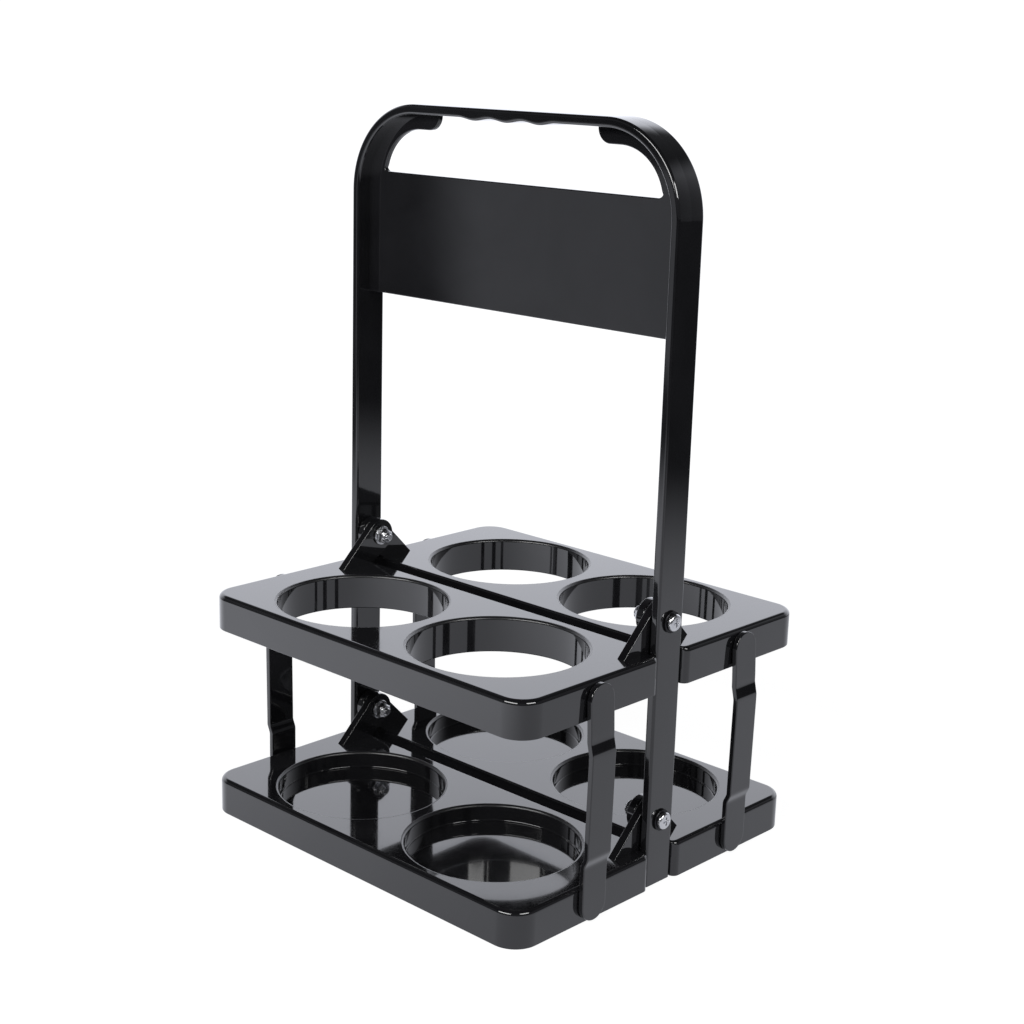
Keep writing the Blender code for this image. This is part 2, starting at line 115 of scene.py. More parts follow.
def drawn_in(outline, inset):
    """A closed outline moved inwards: each point goes along the sum of its two edges' unit
    normals, divided by one plus their dot product, times the inset."""
    edge = np.roll(outline, -1, axis=0) - outline
    normal = np.stack([-edge[:, 1], edge[:, 0]], axis=1) / np.linalg.norm(edge, axis=1)[:, None]
    before = np.roll(normal, 1, axis=0)
    share = 1 + np.sum(normal * before, axis=1)
    return outline + inset * (normal + before) / share[:, None]


def quarter_round(radius, steps):
    """Pairs of inset r(1 - sin t) and depth r(1 - cos t), for t from 0 to a quarter turn."""
    turn = np.linspace(0, np.pi / 2, steps + 1)
    return np.stack([radius * (1 - np.sin(turn)), radius * (1 - np.cos(turn))], axis=1)


def plate_rings(outline, thickness, edge_profile):
    """Rings (along, up, across) of a flat plate: the outline drawn in by each inset of the edge
    profile and set back from the near face by its depth, then the same from the far face."""
    half = thickness / 2
    steps = [(inset, depth - half) for inset, depth in edge_profile]
    steps += [(inset, half - depth) for inset, depth in edge_profile[::-1]]
    rings = [np.column_stack([drawn_in(outline, inset), np.full(len(outline), across)])
             for inset, across in steps]
    return np.array(rings)


def tidied(mesh):
    """The mesh with points at one place merged and all faces turned outwards."""
    work = bmesh.new()
    work.from_mesh(mesh)
    bmesh.ops.remove_doubles(work, verts=work.verts, dist=merge_distance)
    bmesh.ops.recalc_face_normals(work, faces=work.faces)
    work.to_mesh(mesh)
    work.free()
    return mesh


def skin(name, rings, is_ring=False):
    """A mesh over a grid of points: (i, j) joins (i, j+1), (i+1, j+1) and (i+1, j), each ring
    closes on itself, and the stack ends in two flat faces or, if it is a ring, in its start."""
    rows, count = rings.shape[:2]
    index = np.arange(rows * count).reshape(rows, count)
    following = np.roll(index, -1, axis=0) if is_ring else index[1:]
    index = index if is_ring else index[:-1]
    corners = [index, np.roll(index, -1, axis=1), np.roll(following, -1, axis=1), following]
    faces = np.stack(corners, axis=-1).reshape(-1, 4).tolist()
    if not is_ring:
        faces += [list(range(count)), list(range((rows - 1) * count, rows * count))]
    mesh = bpy.data.meshes.new(name)
    mesh.from_pydata((rings.reshape(-1, 3) * MM).tolist(), [], faces)
    return tidied(mesh)


def lathe(radius, place, facets, axis):
    """Rings of a turned shape: (place, r cos t, r sin t) for the X axis, and the same with the
    place last for the Z axis. The radius may also change with the angle, as on a hexagon."""
    turn = np.linspace(0, 2 * np.pi, facets, endpoint=False)
    radius = np.asarray(radius, float).reshape(len(place), -1)
    radius = np.broadcast_to(radius, (len(place), facets))
    along = np.broadcast_to(np.asarray(place, float)[:, None], radius.shape)
    if axis == "X":
        return np.stack([along, radius * np.cos(turn), radius * np.sin(turn)], axis=-1)
    return np.stack([radius * np.cos(turn), radius * np.sin(turn), along], axis=-1)


def rod(radius, start, end, facets, axis, place=(0, 0, 0)):
    """A plain cylinder for boring and joining."""
    return skin("rod", lathe([radius, radius], [start, end], facets, axis) + np.array(place))


def worked(name, base, joined=(), removed=()):
    """The base mesh with other meshes joined to it and then cut out of it."""
    link = bpy.context.scene.collection.objects.link
    target = bpy.data.objects.new(name, base)
    link(target)
    tools = []
    for operation, meshes in (("UNION", joined), ("DIFFERENCE", removed)):
        for mesh in meshes:
            tool = bpy.data.objects.new(mesh.name, mesh)
            tool.hide_render = True
            link(tool)
            tools.append(tool)
            cut = target.modifiers.new(mesh.name, "BOOLEAN")
            cut.operation = operation
            cut.object = tool
    graph = bpy.context.evaluated_depsgraph_get()
    result = bpy.data.meshes.new_from_object(target.evaluated_get(graph))
    for item in [target, *tools]:
        bpy.data.objects.remove(item)
    return result


def node(tree, kind, place, **values):
    """A shader node at a place in the tree. A value is for the socket of that name, with
    spaces as underscores, or for the node's own setting if it has one of that name."""
    made = tree.nodes.new(kind)
    made.location = (place[0] * 200, place[1] * 200)
    for name, value in values.items():
        socket = made.inputs.get(name.replace("_", " "))
        if hasattr(made, name):
            setattr(made, name, value)
        elif isinstance(value, bpy.types.NodeSocket):
            tree.links.new(value, socket)
        else:
            socket.default_value = value
    return made


def ramp(tree, place, fac, low, high):
    """A blend between two colours as a texture's value goes from 0.3 to 0.7."""
    made = node(tree, "ShaderNodeValToRGB", place, Fac=fac)
    made.color_ramp.elements[0].position = 0.3
    made.color_ramp.elements[0].color = (*low, 1)
    made.color_ramp.elements[1].position = 0.7
    made.color_ramp.elements[1].color = (*high, 1)
    return made.outputs["Color"]


def spread(tree, place, value, low, high):
    """A texture's value from 0.3 to 0.7, carried to another range."""
    made = node(tree, "ShaderNodeMapRange", place, Value=value, From_Min=0.3, From_Max=0.7,
                To_Min=low, To_Max=high)
    return made.outputs["Result"]


def black_moulding(name, coat_roughness, smoothest, roughest):
    """Polished black moulding plastic: near black with faint flow clouding, a hard gloss that
    varies a little, slight sink waves in the flats and a very fine skin."""
    material = bpy.data.materials.new(name)
    material.use_nodes = True
    tree = material.node_tree
    shader = tree.nodes["Principled BSDF"]
    where = node(tree, "ShaderNodeTexCoord", (-6, 0)).outputs["Object"]
    flow = node(tree, "ShaderNodeTexNoise", (-5, 2), Vector=where, Scale=22, Detail=4,
                Distortion=1.2)
    wipe = node(tree, "ShaderNodeTexNoise", (-5, 1), Vector=where, Scale=55, Detail=3,
                Roughness=0.6)
    wave = node(tree, "ShaderNodeTexNoise", (-5, -1), Vector=where, Scale=30, Detail=1)
    skin_grain = node(tree, "ShaderNodeTexNoise", (-5, -2), Vector=where, Scale=1400, Detail=2)
    colour = ramp(tree, (-3, 2), flow.outputs["Fac"], plastic_dark, plastic_light)
    tree.links.new(colour, shader.inputs["Base Color"])
    gloss = spread(tree, (-3, 1), wipe.outputs["Fac"], smoothest, roughest)
    tree.links.new(gloss, shader.inputs["Roughness"])
    sink = node(tree, "ShaderNodeBump", (-2, -1), Strength=0.5, Distance=0.04 * MM,
                Height=wave.outputs["Fac"])
    fine = node(tree, "ShaderNodeBump", (-1, -1), Strength=0.25, Distance=0.0035 * MM,
                Height=skin_grain.outputs["Fac"], Normal=sink.outputs["Normal"])
    tree.links.new(fine.outputs["Normal"], shader.inputs["Normal"])
    shader.inputs["IOR"].default_value = plastic_refraction
    shader.inputs["Coat Weight"].default_value = 1
    shader.inputs["Coat Roughness"].default_value = coat_roughness
    shader.inputs["Coat IOR"].default_value = plastic_refraction
    return material


def finished(node_name, mesh, material, body):
    """A visible piece that stands for a CAD node and moves with its body: smooth over rounded
    edges, creased where faces meet at more than the crease angle, its flats kept flat."""
    mesh.shade_smooth()
    mesh.set_sharp_from_angle(angle=math.radians(crease_angle))
    mesh.materials.clear()
    mesh.materials.append(material)
    piece = bpy.data.objects.new(node_name + "_finished", mesh)
    bpy.context.scene.collection.objects.link(piece)
    flats = piece.modifiers.new("flats", "WEIGHTED_NORMAL")
    flats.weight = flat_weight
    flats.keep_sharp = True
    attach(piece, body)
    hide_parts(node_name)
    return piece


def grip_underside():
    """The handle's underside from the first bump's end to the middle: the rim's thickness plus
    half the bump height times one plus the cosine of the place in the pitch."""
    x = np.linspace(grip_bumps * grip_pitch / 2, 0, grip_points)
    bump = grip_bump_height * (1 + np.cos(2 * np.pi * x / grip_pitch)) / 2
    return np.stack([x, frame_height - (post_outer - post_inner) - bump], axis=1)


inner_arch_radius = arch_radius - (post_outer - post_inner)
rim_outside = mirrored(joined_runs(
    [(post_outer, 0)],
    arc(arch_centre, arch_radius, 0, 90, arch_steps),
))
rim_inside = mirrored(joined_runs(
    [(post_inner, 0)],
    arc(arch_centre, inner_arch_radius, 0, 90, arch_steps),
    grip_underside(),
))
rim_outline = joined_runs(rim_outside, rim_inside[::-1])
rim_edge = quarter_round(rim_edge_radius, rim_edge_steps)
parting = frame_depth / 2
groove = np.array([(0, parting - parting_line_width), (parting_line_depth, parting)])
rim = plate_rings(rim_outline, frame_depth, np.concatenate([rim_edge, groove]))

opening_corner = (opening_side - opening_radius, opening_top - opening_radius)
foot_centre = (opening_side - opening_foot_radius, panel_top + opening_foot_radius)
lowest_turn = math.degrees(math.asin((foot_centre[1] - opening_corner[1]) / opening_radius))
tip_centre = (web_tip + web_tip_radius, opening_top + web_tip_radius)
web_outline = mirrored(joined_runs(
    [(post_outer - web_root, panel_bottom)],
    arc(arch_centre, arch_radius - web_root, 0, 90, web_arc_steps),
    [(web_tip, frame_height - web_root)],
    arc(tip_centre, web_tip_radius, 180, 270, web_tip_steps),
    arc(opening_corner, opening_radius, 90, lowest_turn, web_arc_steps),
    arc(foot_centre, opening_foot_radius, 0, -90, opening_foot_steps)[foot_steps_hidden:],
))
web = plate_rings(web_outline, web_thickness, quarter_round(web_edge_radius, web_edge_steps))

bore_start, bore_end = bolt_hole_reach
bores = [rod(bolt_hole_radius, side * bore_start, side * bore_end, hole_facets, "X", (0, 0, height))
         for height in axis_heights.values() for side in (-1, 1)]
upright = (0, 2, 1)
webs = skin("web", web[:, :, upright])
frame_mesh = worked("frame", skin("rim", rim[:, :, upright]), [webs], bores)
black = black_moulding("gloss_black_plastic", 0.03, 0.045, 0.095)
finished("handle_frame", frame_mesh, black, "frame")


# Tray halves
# Four black mouldings of one outline, two to a level: a plate on a skirt with a rounded top
# edge, two collared cup places and two lugs that hang it on the cross bolts. The upper cups
# are open, the lower ones have a flat floor. The back half is the front one turned round.

cup_radius = 41.0
cup_side = 45.3
cup_reach = 51.3
cup_rim_fillet = 1.5
cup_foot_radius = 0.5
cup_floor_fillet = 0.8
cup_facets = 144
collar_wall = 1.5
tray_top = -14.0
tray_bottom = -31.6
collar_bottoms = {"upper": -31.3, "lower": -24.0}
cup_floor = -22.4
plate = 2.4
skirt = 2.4
notch_side = 97.7
notch_end = 9.25
inner_edge = 4.4
tray_end = 105.0
tray_reach = 98.4
corner_radius = 12.5
end_radius = 3.5
outer_fillet = 2.4
inner_fillet = 1.0
foot_edge_radius = 0.35
ear_thickness = 4.2
ear_radius = 8.2
ear_edge_radius = 0.45
ear_heel = 5.7
ear_root = 1.2
outer_ear = 97.6
inner_ear = 93.1
pin_middle = -22.8
pin_hole_radius = 3.3
pin_hole_depth = 5
cutter_overrun = 2
foot_steps = 3
fillet_points = 9
end_points = 9
corner_steps = 24
ear_steps = 40


def tray_outline(outer, inner):
    """One half from above: the notch round the post, a small end corner and the large corner,
    with the outer run drawn in by one inset and the inner run by another, then mirrored."""
    notch = [(notch_side - inner, -inner_edge - inner), (notch_side - inner, -notch_end - inner)]
    turn = np.radians(np.linspace(90, 0, end_points))
    end = np.stack([tray_end - end_radius + (end_radius - outer) * np.cos(turn),
                    -notch_end - end_radius + (end_radius - inner) * np.sin(turn)], axis=1)
    corner_centre = (tray_end - corner_radius, corner_radius - tray_reach)
    corner = arc(corner_centre, corner_radius - outer, 0, -90, corner_steps)
    return mirrored(joined_runs(notch, end, corner))


def level_ring(outline, height):
    """An outline as a ring at one height."""
    return np.column_stack([outline, np.full(len(outline), height)])


def tray_blank():
    """The half before boring: a small round at the foot of the skirt, straight walls, and a top
    edge whose outer and inner rounds follow one height, r(1 - sin t) below the top."""
    rings = [level_ring(tray_outline(inset, inset), tray_bottom + depth)
             for inset, depth in quarter_round(foot_edge_radius, foot_steps)]
    for turn in np.linspace(0, np.pi / 2, fillet_points):
        below = outer_fillet * (1 - np.sin(turn))
        outer = outer_fillet * (1 - np.cos(turn))
        inner = inner_fillet - math.sqrt(inner_fillet ** 2 - max(inner_fillet - below, 0) ** 2)
        rings.append(level_ring(tray_outline(outer, inner), tray_top - below))
    return skin("tray_blank", np.array(rings))


def under_plate():
    """The hollow under the plate, inside the skirt."""
    outline = tray_outline(skirt, skirt)
    heights = (tray_bottom - cutter_overrun, tray_top - plate)
    return skin("under_plate", np.array([level_ring(outline, height) for height in heights]))


def lug(outer_face):
    """An ear: a disc round the bolt, a 45 degree slope down to the plate and a steep back."""
    lean = math.asin(ear_radius / math.hypot(ear_heel, tray_top)) + math.atan2(ear_heel, -tray_top)
    foot = ear_radius * math.sqrt(2) - tray_top
    disc = arc((0, 0), ear_radius, 45, 180 + math.degrees(lean), ear_steps)
    root = tray_top - ear_root
    outline = joined_runs(
        [(ear_heel, tray_top), (ear_heel, root), (foot, root), (foot, tray_top)], disc)
    rings = plate_rings(outline, ear_thickness, quarter_round(ear_edge_radius, web_edge_steps))
    along, up, across = np.moveaxis(rings, -1, 0)
    return skin("lug", np.stack([outer_face - ear_thickness / 2 - across, -along, up], axis=-1))


def cup_cutter(side, foot):
    """The bore of one cup: a rounded foot for an open cup or, without a foot, a filleted floor,
    then a straight wall and a rim that flares out in a quarter round."""
    if foot:
        wide = cup_radius + cup_foot_radius
        start = joined_runs([(wide, foot - cutter_overrun)],
                            arc((wide, foot + cup_foot_radius), cup_foot_radius, 270, 180, 4))
    else:
        centre = (cup_radius - cup_floor_fillet, cup_floor + cup_floor_fillet)
        start = joined_runs([(0, cup_floor)], arc(centre, cup_floor_fillet, -90, 0, 5))
    mouth = cup_radius + cup_rim_fillet
    flare = arc((mouth, tray_top - cup_rim_fillet), cup_rim_fillet, 180, 90, 8)
    radius, height = joined_runs(start, flare, [(mouth, tray_top + cutter_overrun)]).T
    middle = np.array((side * cup_side, -cup_reach, 0))
    return skin("cup", lathe(radius, height, cup_facets, "Z") + middle)


def tray_half(level):
    """A front half about its bolt axis."""
    foot = collar_bottoms[level]
    collars = [rod(cup_radius + collar_wall, foot, tray_top - plate / 2, cup_facets, "Z",
                   (side * cup_side, -cup_reach, 0)) for side in (-1, 1)]
    cuts = [cup_cutter(side, foot if level == "upper" else None) for side in (-1, 1)]
    cuts.append(rod(bolt_hole_radius, -tray_end, tray_end, hole_facets, "X"))
    for side in (-1, 1):
        start, end = side * (tray_end - pin_hole_depth), side * (tray_end + cutter_overrun)
        cuts.append(rod(pin_hole_radius, start, end, hole_facets, "X", (0, -cup_reach, pin_middle)))
    hollowed = worked("hollowed", tray_blank(), removed=[under_plate()])
    lugs = [lug(ear_thickness - inner_ear), lug(outer_ear)]
    return worked(level + "_tray_half", hollowed, [*collars, *lugs], cuts)


rubbed = black_moulding("rubbed_black_plastic", 0.3, 0.26, 0.38)
wall_margin = 0.02
level_normal = 0.998
depth_margin = 0.1


def rub_rims(piece, plate_top):
    """The rims that cups rub, dulled: each sloping face of the rim's round, found by the distance
    of its middle from a cup's axis, measured after its x and y are made positive."""
    count = len(piece.data.polygons)
    middle, normal = np.empty(count * 3), np.empty(count * 3)
    piece.data.polygons.foreach_get("center", middle)
    piece.data.polygons.foreach_get("normal", normal)
    across, along, height = np.abs(middle.reshape(-1, 3) / MM).T
    apart = np.hypot(across - cup_side, along - cup_reach)
    on_rim = (apart > cup_radius + wall_margin) & (apart < cup_radius + cup_rim_fillet)
    on_rim &= (normal[2::3] < level_normal) & (height > plate_top - cup_rim_fillet - depth_margin)
    piece.data.materials.append(rubbed)
    piece.data.polygons.foreach_set("material_index", on_rim.astype(np.int32))


def set_at(mesh, place, is_turned=False):
    """A copy of the mesh at its place, turned half round the upright axis if need be."""
    copy = mesh.copy()
    turn = Matrix.Rotation(math.pi * is_turned, 4, "Z")
    copy.transform(Matrix.Translation([value * MM for value in place]) @ turn)
    return copy


for level, height in axis_heights.items():
    half = tray_half(level)
    for end, is_turned in (("front", False), ("back", True)):
        placed = set_at(half, (0, 0, height), is_turned)
        tray = finished(f"{level}_{end}_tray", placed, black, f"{level}_{end}")
        rub_rims(tray, height + tray_top)


# Side links
# Four black straps outside the trays, moulded flat with half-round ends and two jogs that
# carry the middle clear of the upper skirt. A headed pin at each end, one piece with the
# strap, snaps through the skirt and lets the strap turn.

strap_radius = 7.7
strap_thickness = 2.6
strap_edge_radius = 0.45
strap_face_margin = 0.3
strap_edge_steps = 5
strap_end_steps = 28
strap_side_points = 97
pivot_spacing = 95.6
pivot_standoff = 0.4
standoff_steps = (
    (-7.7, 17.3, 0.4, 1.5),
    (17.3, 24.3, 1.5, 2.9),
    (24.3, 71.8, 2.9, 2.3),
    (71.8, 76.5, 2.3, 0.4),
)
crease_share = 1 / 7
pin_radius = 3.0
pin_facets = 40
pin_tip_inset = 0.6
pin_tip_round = 0.2
pin_head_radius = 3.8
pin_head_length = 1.2
pin_head_round = 0.12
skirt_back = -2.7


def eased(share):
    """A straight ramp from 0 to 1 whose ends are parabolas over the crease's share of it, so
    that its creases are small rounds."""
    share = np.clip(share, 0, 1)
    bend = crease_share
    middle = (share - bend / 2) / (1 - bend)
    low = share ** 2 / (2 * bend * (1 - bend))
    high = 1 - (1 - share) ** 2 / (2 * bend * (1 - bend))
    return np.where(share < bend, low, np.where(share > 1 - bend, high, middle))


def standoff(fall):
    """The inner face's distance from the tray's side: the first one plus each change times its
    eased share. A step holds where it starts and stops, and the distances before and after."""
    away = np.full(np.shape(fall), standoff_steps[0][2])
    for start, stop, near, far in standoff_steps:
        away = away + (far - near) * eased((fall - start) / (stop - start))
    return away


def strap_outline(radius):
    """Two half circles of one radius about the pivots, joined by straight sides of many points."""
    sides = np.linspace(0, -pivot_spacing, strap_side_points)[1:-1]
    top = arc((0, 0), radius, 0, 180, strap_end_steps)
    bottom = arc((0, -pivot_spacing), radius, 180, 360, strap_end_steps)
    left = np.stack([np.full(len(sides), -radius), sides], axis=1)
    right = np.stack([np.full(len(sides), radius), sides[::-1]], axis=1)
    return np.concatenate([top, left, bottom, right])


def strap():
    """Rings from the middle line of one face over the rounded edge to that of the other, bent
    by the stand-off at their height."""
    edge = quarter_round(strap_edge_radius, strap_edge_steps)
    face = [(strap_radius, 0), (strap_radius / 2, 0), (strap_edge_radius + strap_face_margin, 0)]
    steps = [(inset, depth) for inset, depth in [*face, *edge]]
    steps += [(inset, strap_thickness - depth) for inset, depth in reversed(steps)]
    rings = []
    for inset, depth in steps:
        across, height = strap_outline(strap_radius - inset).T
        rings.append(np.stack([standoff(-height) + depth, across, height], axis=1))
    return skin("strap", np.array(rings))


def snap_pin(height):
    """A pin from inside the strap through the skirt, with a cone-backed head behind it."""
    tip = skirt_back - pin_head_length
    root = pivot_standoff + strap_thickness / 2
    lip = pin_head_radius - 0.1
    profile = np.array([
        (0, tip), (pin_radius - pin_tip_inset, tip),
        (pin_radius - pin_tip_round, tip + pin_head_round),
        (lip, skirt_back - 0.25), (pin_head_radius, skirt_back - pin_head_round),
        (lip, skirt_back), (pin_radius, skirt_back), (pin_radius, root), (0, root),
    ])
    return skin("pin", lathe(profile[:, 0], profile[:, 1], pin_facets, "X") + (0, 0, height))


link_mesh = worked("link", strap(), [snap_pin(0), snap_pin(-pivot_spacing)])
for hand, side in (("left", -1), ("right", 1)):
    for end, reach in (("front", -cup_reach), ("back", cup_reach)):
        place = (side * tray_end, reach, axis_heights["upper"] + pin_middle)
        placed = set_at(link_mesh, place, side < 0)
        finished(f"{end}_{hand}_link", placed, black, f"link_{end}_{hand}")


# Bolts, washers and nuts
# A zinc-plated cross-drive pan-head screw with a rolled thread goes through the post and
# both lugs at each of the four joints. A blackened steel washer lies under its head, a zinc
# one under the lock nut on the inside.

bolt_radius = 2.0
thread_pitch = 0.7
thread_depth = 0.32
thread_length = 9.0
thread_rings = 104
thread_runout = 1.5
thread_lead_in = 0.2
tip_chamfer = 0.45
screw_facets = 48
head_radius = 4.05
head_height = 2.1
head_edge_radius = 1.1
head_edge_turn = 82
head_crown = 0.14
head_foot_chamfer = 0.15
drive_half_span = 2.2
drive_half_width = 0.45
drive_depth = 1.3
drive_steps = ((-1.0, 1.1), (drive_depth * 0.7, 0.8), (drive_depth, 0.5))
head_seat = 104.0
bolt_tip = 82.4
washer_hole_radius = 2.3
outer_washer_radius = 5.1
inner_washer_radius = 4.9
washer_thickness = 0.8
washer_facets = 64
outer_washer_seat = 102.9
inner_washer_seat = 87.8
washer_edge = 0.14
nut_seat = 87.5
nut_hex = 3.1
nut_half_flats = 3.5
nut_collar_radius = 3.1
nut_collar = 1.0
nut_bore = 2.08
nut_bore_chamfer = 0.3
nut_chamfer_height = 0.45
nut_chamfer_rings = 7
nut_chamfer_slope = 1.5
nut_face_inset = 0.05
nut_roll_radius = 0.5
nut_roll_turn = 115
nut_facets = 96


def zinc_plating():
    """Bright zinc over steel: a cool silver with a faint clouding, brushed by the tooling so
    that its gloss varies over fractions of a millimetre."""
    material = bpy.data.materials.new("bright_zinc")
    material.use_nodes = True
    tree = material.node_tree
    shader = tree.nodes["Principled BSDF"]
    where = node(tree, "ShaderNodeTexCoord", (-6, 0)).outputs["Object"]
    cloud = node(tree, "ShaderNodeTexNoise", (-5, 2), Vector=where, Scale=520, Detail=3)
    mark = node(tree, "ShaderNodeTexNoise", (-5, 0), Vector=where, Scale=1900, Detail=4,
                Roughness=0.7)
    colour = ramp(tree, (-3, 2), cloud.outputs["Fac"], (0.80, 0.81, 0.83), (0.93, 0.93, 0.94))
    tree.links.new(colour, shader.inputs["Base Color"])
    gloss = spread(tree, (-3, 1), mark.outputs["Fac"], 0.14, 0.3)
    tree.links.new(gloss, shader.inputs["Roughness"])
    dents = node(tree, "ShaderNodeBump", (-1, -1), Strength=0.4, Distance=0.03 * MM,
                 Height=mark.outputs["Fac"])
    tree.links.new(dents.outputs["Normal"], shader.inputs["Normal"])
    shader.inputs["Metallic"].default_value = 1
    return material


def blackened_steel():
    """Blackened steel with a slightly worn, satin face."""
    material = bpy.data.materials.new("blackened_steel")
    material.use_nodes = True
    tree = material.node_tree
    shader = tree.nodes["Principled BSDF"]
    where = node(tree, "ShaderNodeTexCoord", (-6, 0)).outputs["Object"]
    wear = node(tree, "ShaderNodeTexNoise", (-5, 1), Vector=where, Scale=700, Detail=5,
                Roughness=0.65)
    colour = ramp(tree, (-3, 2), wear.outputs["Fac"], (0.018, 0.018, 0.02), (0.05, 0.05, 0.054))
    tree.links.new(colour, shader.inputs["Base Color"])
    gloss = spread(tree, (-3, 1), wear.outputs["Fac"], 0.26, 0.44)
    tree.links.new(gloss, shader.inputs["Roughness"])
    grain = node(tree, "ShaderNodeBump", (-1, -1), Strength=0.3, Distance=0.02 * MM,
                 Height=wear.outputs["Fac"])
    tree.links.new(grain.outputs["Normal"], shader.inputs["Normal"])
    shader.inputs["Metallic"].default_value = 0.8
    return material


def screw_blank():
    """The screw about x = 0 under its head: a shank whose radius dips by the thread's depth
    times a triangle wave of place over pitch less angle, and a pan head with a low crown."""
    facets = screw_facets
    tip = bolt_tip - head_seat
    thread_end = tip + thread_length
    place = np.linspace(tip, thread_end, thread_rings)
    phase = place[:, None] / thread_pitch - np.arange(facets)[None, :] / facets
    wave = np.abs(2 * (phase % 1) - 1)
    runout = np.clip((thread_end - place) / thread_runout, 0, 1)
    runout = runout * np.clip((place - tip) / thread_lead_in, 0, 1)
    shank = bolt_radius - thread_depth * (wave * runout[:, None])
    shank = np.minimum(shank, bolt_radius - tip_chamfer + (place[:, None] - tip))
    edge_centre = (head_radius - head_edge_radius, head_height - head_crown - head_edge_radius)
    edge = arc(edge_centre, head_edge_radius, 0, head_edge_turn, 9)
    crown = np.linspace(edge[-1, 0], 0, 6)[1:]
    crown_height = head_height - (head_height - edge[-1, 1]) * (crown / edge[-1, 0]) ** 2
    foot_chamfer = [(head_radius - head_foot_chamfer, 0), (head_radius, head_foot_chamfer)]
    crown_run = np.stack([crown, crown_height], axis=1)
    head = joined_runs([(bolt_radius, 0)], foot_chamfer, edge, crown_run)
    radius = np.concatenate([np.zeros((1, facets)), shank, np.repeat(head[:, :1], facets, axis=1)])
    place = np.concatenate([[tip], place, head[:, 1]])
    return skin("screw_blank", lathe(radius, place, facets, "X"))


def cross_drive():
    """The tapered cross recess: a twelve-point cross whose arms shrink towards the bottom. Each
    step is a depth below the crown and the arms' share of their full span."""
    rings = []
    for depth, share in drive_steps:
        span, width = drive_half_span * share, drive_half_width * (0.6 + 0.4 * share)
        quarter = np.array([(span, -width), (span, width), (width, width)])
        turns = [np.array([[c, s], [-s, c]]) for c, s in ((1, 0), (0, 1), (-1, 0), (0, -1))]
        cross = np.concatenate([quarter @ turn for turn in turns])
        rings.append(np.column_stack([np.full(len(cross), head_height - depth), cross]))
    return skin("cross_drive", np.array(rings))


def washer(outer):
    """A flat ring with lightly broken edges, its inner face at x = 0."""
    hole, thick, edge = washer_hole_radius, washer_thickness, washer_edge
    profile = np.array([
        (hole, edge), (hole + edge, 0), (outer - edge, 0), (outer, edge),
        (outer, thick - edge), (outer - edge, thick), (hole + edge, thick), (hole, thick - edge),
    ])
    return skin("washer", lathe(profile[:, 0], profile[:, 1], washer_facets, "X"), is_ring=True)


def lock_nut():
    """A lock nut, its seat at x = 0: the hexagon's radius is the half width across flats over
    the cosine of the angle from the flat, held under the cones of its two chamfers, and a
    round collar with a rolled edge follows."""
    turn = np.linspace(0, 2 * np.pi, nut_facets, endpoint=False)
    flat_angle = (turn + np.pi / 6) % (np.pi / 3) - np.pi / 6
    hexagon = nut_half_flats / np.cos(flat_angle)
    depth = np.concatenate([
        np.linspace(0, nut_chamfer_height, nut_chamfer_rings),
        np.linspace(nut_hex - nut_chamfer_height, nut_hex, nut_chamfer_rings),
    ])
    cone = nut_half_flats - nut_face_inset + nut_chamfer_slope * np.minimum(depth, nut_hex - depth)
    hex_rows = np.minimum(hexagon[None, :], cone[:, None])
    collar_end = nut_hex + nut_collar
    roll = arc((nut_collar_radius - nut_roll_radius, collar_end - nut_roll_radius),
               nut_roll_radius, 0, nut_roll_turn, 7)
    rest = joined_runs(
        [(nut_collar_radius + 0.15, nut_hex), (nut_collar_radius, nut_hex + 0.12)],
        roll,
        [(nut_bore + 0.25, collar_end - 0.12), (nut_bore, collar_end - nut_bore_chamfer)],
        [(nut_bore, nut_bore_chamfer), (nut_bore + nut_bore_chamfer, 0)],
    )
    radius = np.concatenate([hex_rows, np.repeat(rest[:, :1], nut_facets, axis=1)])
    place = -np.concatenate([depth, rest[:, 1]])
    return skin("lock_nut", lathe(radius, place, nut_facets, "X"), is_ring=True)


zinc = zinc_plating()
blackened = blackened_steel()
fasteners = (
    ("bolt", worked("bolt", screw_blank(), removed=[cross_drive()]), zinc, "zinc_plate", head_seat),
    ("outer_washer", washer(outer_washer_radius), blackened, "black_washer_metal", outer_washer_seat),
    ("inner_washer", washer(inner_washer_radius), zinc, "zinc_plate", inner_washer_seat),
    ("nut", lock_nut(), zinc, "zinc_plate", nut_seat),
)
for level, height in axis_heights.items():
    for hand, side in (("left", -1), ("right", 1)):
        for kind, mesh, material, slot, seat in fasteners:
            placed = set_at(mesh, (side * seat, 0, height), side < 0)
            finished(f"{level}_{hand}_{kind}", placed, material, "frame")


# Studio
# A white sweep with a dark room above and beyond it, as glossy black goods are shown: the
# tops mirror the bright backdrop, the rounded edges the dark, and the sides the white floor.
# Two long soft boxes stand to the left and right of the camera.

backdrop_way = (-0.684, 0.729, 0)
backdrop_turn = (0.1, 0.75)
backdrop_levels = (0.08, 1.15)
table_way = (-0.70, -0.71, 0)
white_level = 1.18
floor_radius = 40
floor_corners = 64
glow_share = 0.88
paint_share = 0.2
lamp_aim = (0, 0, 0.12)
focal_pixels = 1791.9
picture_width = 1024
camera_turns = (0.75334, 0.25541, 0.02841)
camera_place = (0.57154, -0.60570, 0.37483)


def ranged(tree, place, value, start, stop, low, high):
    """A number carried smoothly from one range to another."""
    made = node(tree, "ShaderNodeMapRange", place, interpolation_type="SMOOTHSTEP", Value=value,
                From_Min=start, From_Max=stop, To_Min=low, To_Max=high)
    return made.outputs["Result"]


